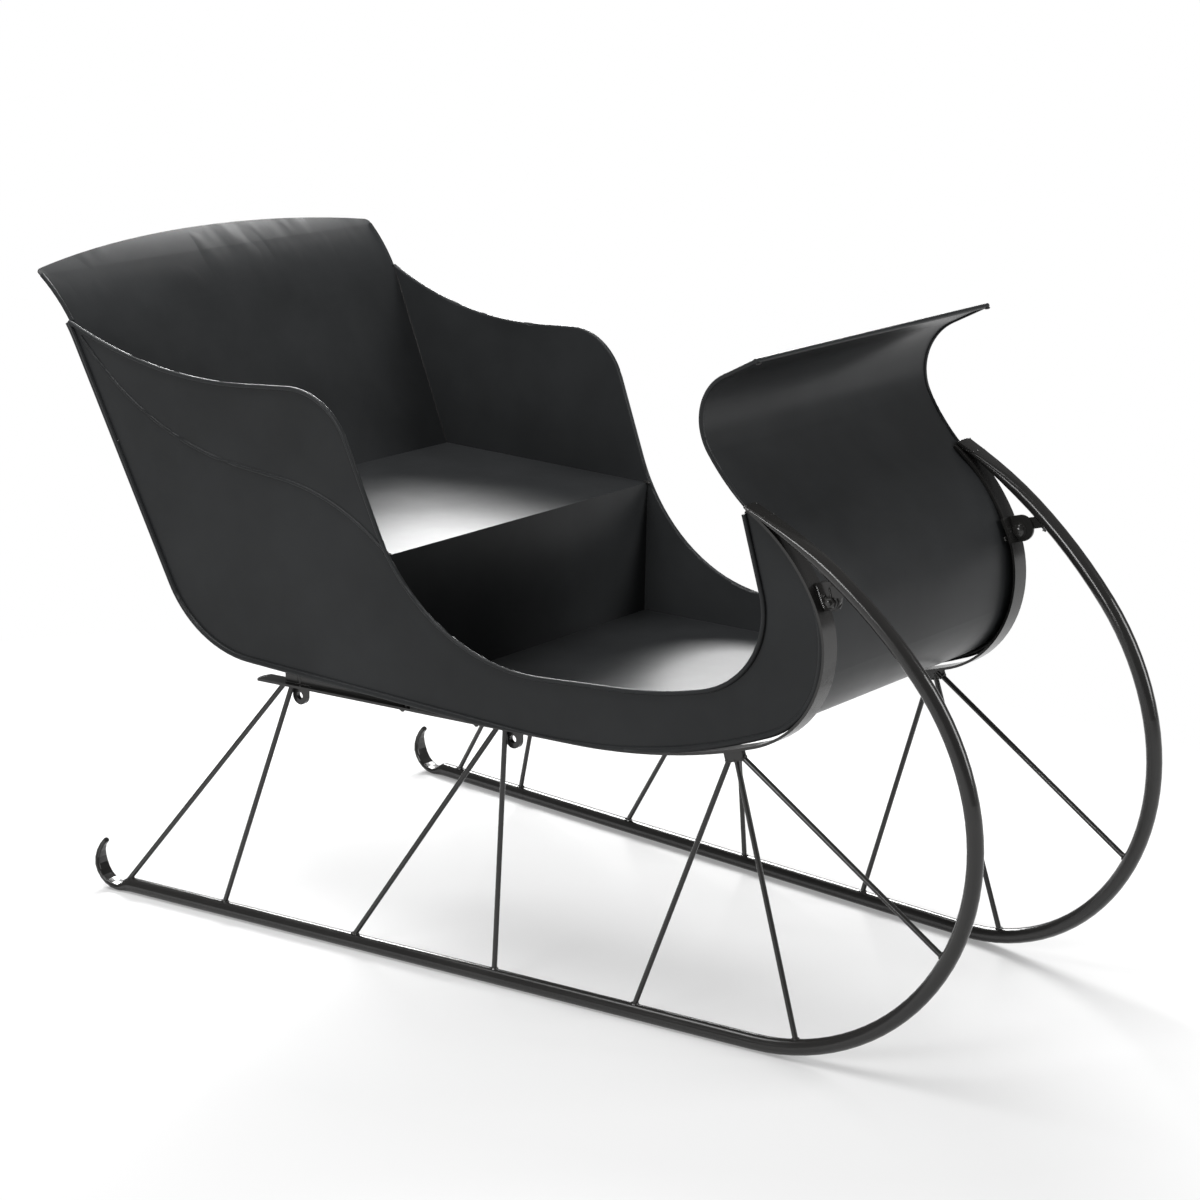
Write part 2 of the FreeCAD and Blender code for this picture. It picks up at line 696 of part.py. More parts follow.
def brace_foot(x):
    """Place on the runner's axis, by its distance forwards."""
    u = x / math.cos(math.radians(RUNNER_TOE))
    if u > RUNNER_NOSE_U:
        return runner_axis(math.degrees(math.asin((u - RUNNER_NOSE_U) / NOSE_R)))
    return runner_place().multVec(V(u, 0, TUBE_D / 2))


def rail_brace(foot_x, head_x, runner):
    """Brace whose head stands against an eye lug, under the rail."""
    above = Part.makeBox(2 * REACH, 2 * REACH, REACH, V(-REACH, -REACH, RAIL_LOW_Z))
    head = V(head_x, rail_mid_y(head_x, RAIL_LOW_Z) + (LUG_T + ROD_D) / 2, RAIL_LOW_Z)
    return make_brace(head, brace_foot(foot_x), [runner, above])


def gusset_brace(foot, head_x, drop, runner, gusset):
    """Brace whose head is at the front gusset, a drop below the rail."""
    z = rail_under(head_x)[0].z - drop
    head = V(head_x, rail_mid_y(head_x, z) + GUSSET_OUT, z)
    return make_brace(head, foot, [runner, gusset])


def make_eye_lug(x):
    y = rail_mid_y(x, RAIL_LOW_Z) - LUG_T / 2
    ring = Part.makeCylinder(LUG_R, LUG_T, V(x, y, RAIL_LOW_Z - LUG_DROP), V(0, 1, 0))
    neck = Part.makeBox(2 * LUG_R, LUG_T, LUG_DROP, V(x - LUG_R, y, RAIL_LOW_Z - LUG_DROP))
    hole = Part.makeCylinder(LUG_HOLE_D / 2, LUG_T, V(x, y, RAIL_LOW_Z - LUG_DROP), V(0, 1, 0))
    return one_solid(ring.fuse(neck).cut(hole).removeSplitter())


def rail_under(x):
    """Place and heading of the rail's lower face at x, on its rising stretch."""
    a = math.asin((x - rail.point("rise")[0].x) / RAIL_RISE_R)
    return V(x, 0, RAIL_LOW_Z + RAIL_RISE_R * (1 - math.cos(a))), a


def make_front_gusset():
    foot, heading = rail_under(GUSSET_X)
    along = towards(heading) * (GUSSET_L / 2)
    down = left_of(heading) * -1
    ring = [foot - along - down * RAIL_T, foot + along - down * RAIL_T,
            foot + along + down * GUSSET_DROP, foot - along + down * GUSSET_DROP]
    face = Part.Face(Part.makePolygon(ring + [ring[0]]))
    y = rail_mid_y(GUSSET_X, foot.z) + GUSSET_OUT - GUSSET_T / 2
    plate = face.translated(V(0, y, 0)).extrude(V(0, GUSSET_T, 0))
    low_corners = [edge for edge in plate.Edges if is_low_corner(edge, foot.z)]
    plate = plate.makeFillet(GUSSET_DROP * GUSSET_ROUND, low_corners)
    return min(plate.cut(across(band(rail, 0.0, RAIL_T))).Solids, key=lambda solid: solid.CenterOfMass.z)


def is_low_corner(edge, z):
    """True for an edge across the gusset that lies below z."""
    box = edge.BoundBox
    return box.YLength > GUSSET_T / 2 and box.ZMax < z


def bracket_seat():
    """Middle of the rail's outer face at the bracket, and the face's heading there."""
    for step in rail.walk(0.0, "bow"):
        if step.start.z <= BRACKET_Z <= step.end.z:
            centre, radius = step.edge.Curve.Center, step.edge.Curve.Radius
            heading = math.acos((centre.z - BRACKET_Z) / radius)
            seat = centre - left_of(heading) * radius
    return V(seat.x, rail_mid_y(seat.x, seat.z), seat.z), heading


def on_bracket_seat(shape, dip):
    """Put a shape, drawn from the origin towards +X, on the rail at the bracket, a dip below the square."""
    seat, heading = bracket_seat()
    shape.rotate(V(0, 0, 0), V(0, 1, 0), 90.0 - math.degrees(heading) + dip)
    return shape.translated(seat)


def make_bracket_plate(rail_bar, runner):
    """Angle: one leg on the rail's outer face, the other forward from its middle with a round end."""
    half = BRACKET_W / 2
    flat = Part.makeBox(2 * BRACKET_T, BRACKET_FLAT, BRACKET_W, V(-BRACKET_T, -BRACKET_FLAT, -half))
    leg = Part.makeBox(BRACKET_REACH, BRACKET_T, BRACKET_W, V(-half, -BRACKET_T, -half))
    end = Part.makeCylinder(half, BRACKET_T, V(BRACKET_REACH - half, -BRACKET_T, 0), V(0, 1, 0))
    leg = one_solid(leg.fuse(end).removeSplitter())
    plate = on_bracket_seat(flat, 0.0).fuse(on_bracket_seat(leg, BRACKET_DIP))
    ahead = across(band(rail, -BRACKET_W * 2, 0.0, "bow"))
    return largest(plate.common(ahead).cut([rail_bar, runner]))


def make_tube_lug(rail_bar, runner):
    """Web between the bracket's standing leg and the runner."""
    web = Part.makeBox(TUBE_LUG_L, TUBE_LUG_T, TUBE_LUG_W, V(BRACKET_REACH - TUBE_LUG_LAP, 0, -TUBE_LUG_LOW))
    web = on_bracket_seat(web, BRACKET_DIP).cut([rail_bar, runner])
    return min(web.Solids, key=lambda solid: solid.BoundBox.XMin)


def build():
    parts = {}
    parts["back_panel"] = make_back_panel()
    parts["belly_panel"] = make_belly_panel()
    parts["dash_panel"] = make_dash_panel()
    parts["seat_plate"] = make_seat_plate()
    parts["seat_riser"] = make_seat_riser()
    parts["floor_plate"] = make_floor_plate()
    left = {"rail": make_rail()}
    runner = one_solid(make_runner().cut(left["rail"]))
    left["side_panel"] = one_solid(make_side_panel().cut(list(parts.values()) + [runner]))
    gusset = make_front_gusset()
    left["runner"] = runner
    left["front_gusset"] = gusset
    left["bracket_plate"] = make_bracket_plate(left["rail"], runner)
    left["tube_lug"] = make_tube_lug(left["rail"], runner)
    for name, (foot_x, head_x) in RAIL_BRACES.items():
        left["brace_" + name] = rail_brace(foot_x, head_x, runner)
    for name, (foot_x, head_x) in GUSSET_BRACES.items():
        left["brace_" + name] = gusset_brace(brace_foot(foot_x), head_x, GUSSET_DROP, runner, gusset)
    nose_foot = runner_axis(NOSE_BRACE_TURN)
    left["brace_front_3"] = gusset_brace(nose_foot, NOSE_BRACE_HEAD_X, NOSE_BRACE_DROP, runner, gusset)
    for name, x in LUG_STATIONS.items():
        left["eye_lug_" + name] = make_eye_lug(x)
    for i, stud in enumerate(make_studs()):
        left["stud_%d" % (i + 1)] = stud
    right = dict(left, brace_rear_1=rail_brace(REAR_FOOT_RIGHT, RAIL_BRACES["rear_1"][1], runner))
    for name in left:
        parts[name + "_left"] = left[name]
        parts[name + "_right"] = mirrored(right[name])
    rear = parts["back_panel"].optimalBoundingBox().XMin
    front = parts["runner_left"].optimalBoundingBox().XMax
    middle = (rear + front) / 2
    return {name: shape.translated(V(-middle, 0, 0)) for name, shape in parts.items()}, middle


def main():
    os.makedirs("parts", exist_ok=True)
    parts, middle = build()
    for name, shape in parts.items():
        box = shape.optimalBoundingBox()
        print("%-22s solids %d valid %s volume %9.0f  x %.1f %.1f  y %.1f %.1f  z %.1f %.1f" % (
            name, len(shape.Solids), shape.isValid(), shape.Volume,
            box.XMin, box.XMax, box.YMin, box.YMax, box.ZMin, box.ZMax))
        shape.exportStep("parts/%s.step" % name)
    print("middle", round(middle, 3))


main()
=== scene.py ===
"""Small sheet-steel sleigh, satin black, on a white studio floor.

Lengths are in metres: +X is forwards, +Y the sleigh's left-hand side and +Z up.
"""
import bpy
import json
import math
from mathutils import Matrix, Vector, noise


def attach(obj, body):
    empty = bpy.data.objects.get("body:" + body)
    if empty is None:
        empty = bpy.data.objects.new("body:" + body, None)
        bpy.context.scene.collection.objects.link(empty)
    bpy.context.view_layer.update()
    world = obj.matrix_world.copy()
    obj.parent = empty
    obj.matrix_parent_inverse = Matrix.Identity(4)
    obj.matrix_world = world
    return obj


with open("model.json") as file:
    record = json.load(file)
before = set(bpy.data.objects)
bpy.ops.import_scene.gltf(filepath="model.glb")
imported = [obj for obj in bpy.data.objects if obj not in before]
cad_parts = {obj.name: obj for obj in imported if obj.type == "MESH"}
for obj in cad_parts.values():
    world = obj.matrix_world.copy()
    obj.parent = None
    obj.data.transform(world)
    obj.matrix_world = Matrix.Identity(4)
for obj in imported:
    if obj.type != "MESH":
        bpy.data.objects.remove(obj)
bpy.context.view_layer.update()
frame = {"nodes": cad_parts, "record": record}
NODES = frame["nodes"]

# Body: half width at its outer side faces, which toe in to the front and lean out upwards
BODY_HALF = 0.2535
BODY_HALF_X = -0.005996
BODY_HALF_Z = 0.640
BODY_TAPER = 0.081
BODY_LEAN = 0.030
SHEET = 0.0012

# Rail: a flat bar under the body
RAIL_LOW_Z = 0.3141
RAIL_T = 0.0030

SIDES = (-1.0, 1.0)


def side_y(x, z):
    """Half width of the body at its outer side faces."""
    return BODY_HALF - BODY_TAPER * (x - BODY_HALF_X) + BODY_LEAN * (z - BODY_HALF_Z)


def inside(x, z):
    """Place in the corner between the left side panel's inner face and what meets it."""
    return Vector((x, side_y(x, z) - SHEET, z))


def both_sides(points):
    """A left-hand path and its right-hand copy."""
    return points, [Vector((p.x, -p.y, p.z)) for p in points]


# Camera

CAM_PLACE = Vector((2.26150, -2.87305, 1.38299))
CAM_AZIMUTH = math.radians(38.112)
CAM_ELEVATION = math.radians(14.797)
CAM_ROLL = math.radians(0.148)
CAM_LENS = 90.795
CAM_SENSOR = 36.0


def add_camera():
    a, e, r = CAM_AZIMUTH, CAM_ELEVATION, CAM_ROLL
    back = Vector((math.sin(a) * math.cos(e), -math.cos(a) * math.cos(e), math.sin(e)))
    flat = Vector((math.cos(a), math.sin(a), 0.0))
    up = back.cross(flat)
    right = flat * math.cos(r) + up * math.sin(r)
    top = up * math.cos(r) - flat * math.sin(r)
    data = bpy.data.cameras.new("camera")
    data.lens = CAM_LENS
    data.sensor_width = CAM_SENSOR
    data.sensor_fit = "HORIZONTAL"
    data.clip_end = 200.0
    cam = bpy.data.objects.new("camera", data)
    turn = Matrix((right, top, back)).transposed().to_4x4()
    cam.matrix_world = Matrix.Translation(CAM_PLACE) @ turn
    bpy.context.scene.collection.objects.link(cam)
    bpy.context.scene.camera = cam


# Materials

BODY_COLOR = (0.0268, 0.0281, 0.0292)
GEAR_COLOR = (0.0210, 0.0203, 0.0196)
WELD_COLOR = (0.0240, 0.0232, 0.0222)
DUST_COLOR = (0.055, 0.055, 0.055, 1.0)

# Noise scales, in waves a metre, and depths
CLOUD_SCALE = 7.0
GLOSS_SCALE = 11.0
DUST_SCALE = 310.0
DENT_SCALE = 3.2
DENT_DEPTH = 0.004
PEEL_DEPTH = 0.0003
PEEL_STRENGTH = 0.07
CREASE_SCALE = 19.0
CREASE_DEPTH = 0.006
CREASE_STRETCH = (0.35, 1.0, 0.55)      # draws the creases out along the lip's fall
LIP_Z = (0.752, 0.800)                  # the lip's foot, and where its creases are at their deepest

SMOOTH_ANGLE = math.radians(28.0)       # edges sharper than this stay sharp


class Nodes:
    """Short way to build a node tree."""

    def __init__(self, name):
        self.mat = bpy.data.materials.new(name)
        self.mat.use_nodes = True
        self.tree = self.mat.node_tree
        self.tree.nodes.clear()
        self.out = self.add("ShaderNodeOutputMaterial")

    def add(self, kind, **values):
        node = self.tree.nodes.new(kind)
        for key, value in values.items():
            if key in node.inputs:
                node.inputs[key].default_value = value
            else:
                setattr(node, key, value)
        return node

    def link(self, a, b):
        self.tree.links.new(a, b)

    def feed(self, socket, value):
        """Give a socket a number, a colour or another node's output."""
        if isinstance(value, (float, tuple)):
            socket.default_value = value
        else:
            self.link(value, socket)

    def noise(self, place, scale, detail=3.0, rough=0.55):
        node = self.add("ShaderNodeTexNoise", Scale=scale, Detail=detail, Roughness=rough)
        self.link(place, node.inputs["Vector"])
        return node.outputs["Fac"]

    def stretch(self, place, scale):
        node = self.add("ShaderNodeMapping", Scale=scale)
        self.link(place, node.inputs["Vector"])
        return node.outputs["Vector"]

    def spread(self, value, low, high, to_low=0.0, to_high=1.0):
        """Map one range to another, without going past its ends."""
        node = self.add("ShaderNodeMapRange")
        names = ("From Min", "From Max", "To Min", "To Max")
        for name, number in zip(names, (low, high, to_low, to_high)):
            node.inputs[name].default_value = number
        self.link(value, node.inputs["Value"])
        return node.outputs["Result"]

    def math(self, kind, a, b):
        node = self.add("ShaderNodeMath", operation=kind)
        for socket, value in zip(node.inputs, (a, b)):
            self.feed(socket, value)
        return node.outputs[0]

    def mix(self, share, first, second):
        """Colour between two others."""
        node = self.add("ShaderNodeMix", data_type="RGBA")
        self.link(share, node.inputs[0])
        self.feed(node.inputs[6], first)
        self.feed(node.inputs[7], second)
        return node.outputs[2]

    def bump(self, height, strength, distance, under=None):
        node = self.add("ShaderNodeBump", Strength=strength, Distance=distance)
        self.link(height, node.inputs["Height"])
        if under is not None:
            self.link(under, node.inputs["Normal"])
        return node.outputs["Normal"]


def shade(color, share):
    """A darker or lighter colour, with its alpha."""
    return (*[c * share for c in color], 1.0)


def paint_color(n, place, color):
    """Faint clouds in the paint, with dust specks over them."""
    cloud = n.spread(n.noise(place, CLOUD_SCALE, 4.0), 0.32, 0.68)
    dust = n.spread(n.noise(place, DUST_SCALE, 2.0, 0.7), 0.70, 0.78, 0.0, 0.30)
    return n.mix(dust, n.mix(cloud, shade(color, 0.84), shade(color, 1.18)), DUST_COLOR)


def lip_creases(n, place):
    """Height of the soft creases that run down the back panel's lip."""
    split = n.add("ShaderNodeSeparateXYZ")
    n.link(place, split.inputs[0])
    lip = n.spread(split.outputs["Z"], *LIP_Z)
    drawn = n.stretch(place, CREASE_STRETCH)
    return n.math("MULTIPLY", n.spread(n.noise(drawn, CREASE_SCALE, 1.5, 0.4), 0.50, 0.72), lip)


def paint(name, color, rough, grain, dents=0.0, ior=1.25, creases=0.0):
    """Satin paint with fine orange peel and, on sheet, slight dents and creases."""
    n = Nodes(name)
    place = n.add("ShaderNodeTexCoord").outputs["Object"]
    gloss = n.spread(n.noise(place, GLOSS_SCALE), 0.3, 0.7, rough - 0.03, rough + 0.04)
    normal = None
    if dents > 0.0:
        normal = n.bump(n.noise(place, DENT_SCALE, 1.0, 0.3), dents, DENT_DEPTH)
    if creases > 0.0:
        normal = n.bump(lip_creases(n, place), creases, CREASE_DEPTH, normal)
    normal = n.bump(n.noise(place, grain, 3.0, 0.6), PEEL_STRENGTH, PEEL_DEPTH, normal)
    skin = n.add("ShaderNodeBsdfPrincipled", IOR=ior)
    n.link(paint_color(n, place, color), skin.inputs["Base Color"])
    n.link(gloss, skin.inputs["Roughness"])
    n.link(normal, skin.inputs["Normal"])
    n.link(skin.outputs["BSDF"], n.out.inputs["Surface"])
    return n.mat


def dress_nodes(body, gear, lip):
    slots = {row["node"]: row["material_slot"] for row in frame["record"]["subparts"]}
    for name, obj in NODES.items():
        obj.data.materials.clear()
        plain = body if slots[name] == "body_paint" else gear
        obj.data.materials.append(lip if name == "back_panel" else plain)
        for poly in obj.data.polygons:
            poly.use_smooth = True
        obj.data.set_sharp_from_angle(angle=SMOOTH_ANGLE)


# Welds, drops and turned forms

BEAD_SIDES = 8
STEPS_A_RIPPLE = 5.0
HEX = 6
SMALL_ROUND = 16
ROUND = 28


class Build:
    """Mesh that is put together from rings, then made one piece."""

    def __init__(self):
        self.verts = []
        self.faces = []

    def rings(self, rings, closed=False):
        """Skin a run of rings of the same size, with caps unless the run closes on itself."""
        base, size, count = len(self.verts), len(rings[0]), len(rings)
        for ring in rings:
            self.verts.extend(ring)
        for i in range(count if closed else count - 1):
            a, b = base + i * size, base + ((i + 1) % count) * size
            for j in range(size):
                k = (j + 1) % size
                self.faces.append((a + j, a + k, b + k, b + j))
        if not closed:
            self.faces.append(tuple(base + j for j in reversed(range(size))))
            self.faces.append(tuple(base + (count - 1) * size + j for j in range(size)))

    def weld(self, path, radius, pitch=0.0022, closed=False, seed=0.0):
        """Rippled weld bead along a path."""
        points, lengths = resample(path, pitch / STEPS_A_RIPPLE, closed)
        last = len(points) - 1
        rings = []
        side = None
        for i, point in enumerate(points):
            ahead = heading(points, i, closed)
            side = ahead.orthogonal() if side is None else side - ahead * ahead.dot(side)
            side.normalize()
            up = ahead.cross(side)
            ripple = 0.84 + 0.16 * abs(math.cos(math.pi * lengths[i] / pitch))
            rough = 1.0 + 0.22 * noise.noise(point * 260.0 + Vector((seed, 0.0, 0.0)))
            end = 1.0 if closed else min(1.0, 0.35 + 0.2 * min(i, last - i))
            shift = side * (radius * 0.2 * noise.noise(point * 120.0 + Vector((0.0, seed, 0.0))))
            rings.append(circle(point + shift, side, up, radius * ripple * rough * end, BEAD_SIDES))
        self.rings(rings, closed)

    def drop(self, place, radius, seed):
        """Small irregular drop of weld spatter."""
        offset = Vector((seed, seed, 0.0))
        rings = []
        for i in range(1, 6):
            lift = math.pi * i / 6.0
            ring = []
            for k in range(BEAD_SIDES):
                turn = math.tau * k / BEAD_SIDES
                flat = math.sin(lift)
                way = Vector((flat * math.cos(turn), flat * math.sin(turn), math.cos(lift)))
                ring.append(place + way * radius * (1.0 + 0.35 * noise.noise(way * 1.7 + offset)))
            rings.append(ring)
        self.rings(rings)

    def lathe(self, place, axis, profile, sides, phase=0.0):
        """Turned or many-sided form: profile gives radius and height along the axis."""
        axis = axis.normalized()
        side = axis.orthogonal().normalized()
        up = axis.cross(side)
        self.rings([circle(place + axis * height, side, up, radius, sides, phase)
                    for radius, height in profile])

    def piece(self, name, material, slot, sharp=35.0):
        mesh = bpy.data.meshes.new(name)
        mesh.from_pydata(self.verts, [], self.faces)
        mesh.materials.append(material)
        for poly in mesh.polygons:
            poly.use_smooth = True
        mesh.set_sharp_from_angle(angle=math.radians(sharp))
        obj = bpy.data.objects.new(name, mesh)
        bpy.context.scene.collection.objects.link(obj)
        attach(obj, "root")
        return obj


def circle(middle, side, up, radius, count, phase=0.0):
    """Points round a middle, in the plane of two directions."""
    turns = (phase + math.tau * k / count for k in range(count))
    return [middle + (side * math.cos(t) + up * math.sin(t)) * radius for t in turns]


def heading(points, i, closed):
    """Direction of a path at one of its points."""
    last = len(points) - 1
    if closed or 0 < i < last:
        way = points[(i + 1) % len(points)] - points[i - 1]
    elif i == 0:
        way = points[1] - points[0]
    else:
        way = points[last] - points[last - 1]
    return way.normalized()


def resample(path, step, closed):
    """Points about a step apart along a path, and the length run at each."""
    run = list(path) + ([path[0]] if closed else [])
    total = sum((b - a).length for a, b in zip(run, run[1:]))
    count = max(4, round(total / step))
    points, lengths = [], []
    i, done = 0, 0.0
    for k in range(count if closed else count + 1):
        want = total * k / count
        while i < len(run) - 2 and done + (run[i + 1] - run[i]).length < want:
            done += (run[i + 1] - run[i]).length
            i += 1
        piece = run[i + 1] - run[i]
        points.append(run[i] + piece * ((want - done) / max(piece.length, 1e-9)))
        lengths.append(want)
    return points, lengths


# Braces

BRACES = ("rear_1", "rear_2", "mid_1", "mid_2", "front_1", "front_2", "front_3")
ROD_R = 0.00325
ROD_SLACK = 0.1 * ROD_R         # how far a rim's points may be off the rod's round
RIM_STEP = 4.0                  # degrees between a rim's points
RIM_MIN = 9                     # a rim with fewer points is no full turn
BRACE_BEAD_R = 0.0019


def rod_centre(verts, side, up):
    """Place on the axis: middle of the spread across it."""
    a = [v.dot(side) for v in verts]
    b = [v.dot(up) for v in verts]
    return side * ((min(a) + max(a)) / 2.0) + up * ((min(b) + max(b)) / 2.0)


def brace_rims(obj):
    """Rims of a brace's foot and head, each in order round its axis."""
    verts = [v.co.copy() for v in obj.data.vertices]
    middle = (min(v.z for v in verts) + max(v.z for v in verts)) / 2.0
    low = [v for v in verts if v.z < middle]
    high = [v for v in verts if v.z >= middle]
    foot = sum(low, Vector()) / len(low)
    axis = (sum(high, Vector()) / len(high) - foot).normalized()
    side = axis.orthogonal().normalized()
    up = axis.cross(side)
    centre = rod_centre(low + high, side, up)
    rims = []
    for group in (low, high):
        turns = {}
        for v in group:
            a, b = (v - centre).dot(side), (v - centre).dot(up)
            if abs(math.hypot(a, b) - ROD_R) < ROD_SLACK:
                turns[round(math.degrees(math.atan2(b, a)) / RIM_STEP)] = v
        rims.append([turns[key] for key in sorted(turns)])
    return rims


def add_brace_welds(material):
    """A bead round the foot and the head of each brace."""
    build = Build()
    for name in BRACES:
        for side in ("left", "right"):
            for rim in brace_rims(NODES["brace_%s_%s" % (name, side)]):
                if len(rim) >= RIM_MIN:
                    build.weld(rim, BRACE_BEAD_R, closed=True, seed=len(build.verts) * 0.37)
    build.piece("brace_welds", material, "gear_paint")


# Body seams, left-hand side

# x and z of the seam between side and back panel and of the one at the riser, each with radius and pitch
SEAMS = (
    (((-0.6044, 0.7450), (-0.5925, 0.7224), (-0.4937, 0.5072)), 0.0009, 0.0030),
    (((-0.1146, 0.5060), (-0.1146, 0.3360)), 0.0008, 0.0034),
)
DASH_CORNER = ((0.3836, 0.2208, 0.6238), (0.3866, 0.2206, 0.6278), (0.3892, 0.2204, 0.6312))
DASH_BEAD_R = 0.0018
DASH_BEAD_PITCH = 0.0026
SEAT_CORNER = ((-0.1175, 0.5068), (-0.1125, 0.5072))
SEAT_DROP_R = 0.0030

# Dots down the side panel's rear edge
EDGE_TOP = Vector((-0.5936, 0.0, 0.7219))
EDGE_FALL = math.radians(65.3)
EDGE_DOTS = 22
EDGE_FIRST = 0.076
EDGE_STEP = 0.0036
EDGE_PROUD = 0.0002
BIG_DOT = 17
BIG_DOT_R = 0.0021

# Weld spots where the dash's rolled edge ends: x, z and radius
DASH_SPOTS = ((0.4101, 0.7974, 0.0019), (0.4123, 0.7978, 0.0012), (0.4078, 0.7964, 0.0013))
DASH_SPOT_Y = 0.2368


def edge_dots(build):
    fall = Vector((math.cos(EDGE_FALL), 0.0, -math.sin(EDGE_FALL)))
    for k in range(EDGE_DOTS):
        spot = EDGE_TOP + fall * (EDGE_FIRST + EDGE_STEP * k)
        radius = BIG_DOT_R if k == BIG_DOT else 0.0007 + 0.0003 * abs(math.sin(2.1 * k))
        for side in SIDES:
            y = (side_y(spot.x, spot.z) + EDGE_PROUD) * side
            build.drop(Vector((spot.x, y, spot.z)), radius, 1.3 * k + side)


def dash_spots(build):
    for side in SIDES:
        for i, (x, z, radius) in enumerate(DASH_SPOTS):
            build.drop(Vector((x, DASH_SPOT_Y * side, z)), radius, 4.3 * i + side)


def add_seam_welds(material):
    """Beads in the body's corners, dots down its rear edges and spots at the dash."""
    build = Build()
    for seam, radius, pitch in SEAMS:
        for path in both_sides([inside(x, z) for x, z in seam]):
            build.weld(path, radius, pitch, seed=len(build.verts) * 0.21)
    for path in both_sides([Vector(place) for place in DASH_CORNER]):
        build.weld(path, DASH_BEAD_R, DASH_BEAD_PITCH, seed=path[0].y)
    for path in both_sides([inside(x, z) for x, z in SEAT_CORNER]):
        for i, point in enumerate(path):
            build.drop(point, SEAT_DROP_R, 3.1 * i + path[0].y * 40.0)
    edge_dots(build)
    dash_spots(build)
    build.piece("seam_welds", material, "body_paint")


# Brackets between rail and runner, left-hand side: a plate that stands out from the rail and a lug
# that joins it to the tube

PLATE_RISE = math.radians(15.0)
PLATE_IN_Y = 0.2034
PLATE_OUT_Y = 0.2064
PLATE_T = 0.003
PLATE_HALF = 0.014                                  # half of the plate's root, along the rail
PLATE_ROOT = Vector((0.4747, PLATE_OUT_Y, 0.541))
PLATE_LONG = Vector((math.cos(PLATE_RISE), 0.0, math.sin(PLATE_RISE)))
PLATE_ACROSS = Vector((-PLATE_LONG.z, 0.0, PLATE_LONG.x))
LUG_OUT_Y = 0.2094
LUG_ROOT = 0.0175                                   # from the plate's root to the lug
TUBE_BEAD = (0.5172, 0.5432)                        # x and z of its low end
TUBE_BEAD_STEP = (-0.0045, 0.0052)

BOLT_PLACES = ((1.0, 0.4840, 0.5415), (-1.0, 0.4915, 0.5385))     # side, x and z
RIVET_PLACE = (0.4722, 0.1925, 0.5310)
RIVET_WAY = (0.898, 0.0, 0.440)

# Turned forms: radius and height
BOLT_HEAD = (
    (0.0108, 0.0), (0.0108, 0.0009), (0.0084, 0.0011), (0.0083, 0.0019), (0.0078, 0.0030),
    (0.0065, 0.0042), (0.0046, 0.0052), (0.0024, 0.0058), (0.0006, 0.0060),
)
WASHER = ((0.0078, 0.0), (0.0078, 0.0012), (0.0074, 0.0014))
WASHER_TOP = 0.0014
NUT = ((0.0065, 0.0), (0.0065, 0.0038), (0.0057, 0.0046))
NUT_TOP = 0.0060
BOLT_END = ((0.0030, 0.0), (0.0030, 0.0030), (0.0024, 0.0036))
RIVET = ((0.0034, 0.0), (0.0033, 0.0012), (0.0024, 0.0023), (0.0010, 0.0028))

# Spatter on the plate, and on the lug as x, z and radius
PLATE_DROPS = 14
PLATE_DROPS_FROM = Vector((0.4765, 0.0, 0.5385))
PLATE_DROPS_LONG = 0.0165
PLATE_DROPS_WIDE = 0.013
LUG_DROPS = ((0.5160, 0.5480, 0.0009), (0.5120, 0.5535, 0.0008), (0.5093, 0.5575, 0.0010),
             (0.5130, 0.5440, 0.0007))
LUG_DROPS_Y = 0.2096


def bracket_beads(build):
    """Beads between plate and rail, lug and tube, and plate and lug."""
    step = Vector((0.0, PLATE_T, 0.0))
    root = [PLATE_ROOT + PLATE_ACROSS * h + PLATE_LONG * (0.0015 - 0.17 * h)
            for h in (-PLATE_HALF, 0.0, PLATE_HALF)]
    (x, z), (dx, dz) = TUBE_BEAD, TUBE_BEAD_STEP
    tube = [Vector((x + dx * k, LUG_OUT_Y, z + dz * k)) for k in range(4)]
    lug = [PLATE_ROOT + PLATE_LONG * LUG_ROOT + PLATE_ACROSS * h + step for h in (-0.003, 0.010)]
    for points, radius in ((root, 0.0017), (tube, 0.0016), (lug, 0.0013)):
        for path in both_sides(points):
            build.weld(path, radius, seed=len(build.verts) * 0.13)


def bracket_bolts(build):
    """Domed bolt through each plate, its washer and nut outside, and the rivet in the leg on the rail."""
    for side, x, z in BOLT_PLACES:
        out = Vector((0.0, side, 0.0))
        head = Vector((x, PLATE_IN_Y * side, z))
        back = head + out * PLATE_T
        build.lathe(head, out * -1.0, BOLT_HEAD, ROUND)
        build.lathe(back, out, WASHER, ROUND)
        build.lathe(back + out * WASHER_TOP, out, NUT, HEX, 0.4)
        build.lathe(back + out * NUT_TOP, out, BOLT_END, SMALL_ROUND)
        rivet = Vector((RIVET_PLACE[0], RIVET_PLACE[1] * side, RIVET_PLACE[2]))
        build.lathe(rivet, Vector(RIVET_WAY), RIVET, SMALL_ROUND)


def bracket_drops(build):
    """Spatter on the outside of the plates and of the lugs."""
    for i in range(PLATE_DROPS):
        along = PLATE_DROPS_LONG * ((0.37 * i) % 1.0)
        across = PLATE_DROPS_WIDE * ((0.61 * i + 0.2) % 1.0) - PLATE_DROPS_WIDE / 2.0
        place = PLATE_DROPS_FROM + PLATE_LONG * along + PLATE_ACROSS * across
        radius = 0.0009 + 0.0010 * ((0.83 * i) % 1.0)
        for side in SIDES:
            y = (PLATE_OUT_Y + radius * 0.4) * side
            build.drop(Vector((place.x, y, place.z)), radius, 1.7 * i + side)
    for i, (x, z, radius) in enumerate(LUG_DROPS):
        for side in SIDES:
            build.drop(Vector((x, LUG_DROPS_Y * side, z)), radius, 2.9 * i + side)


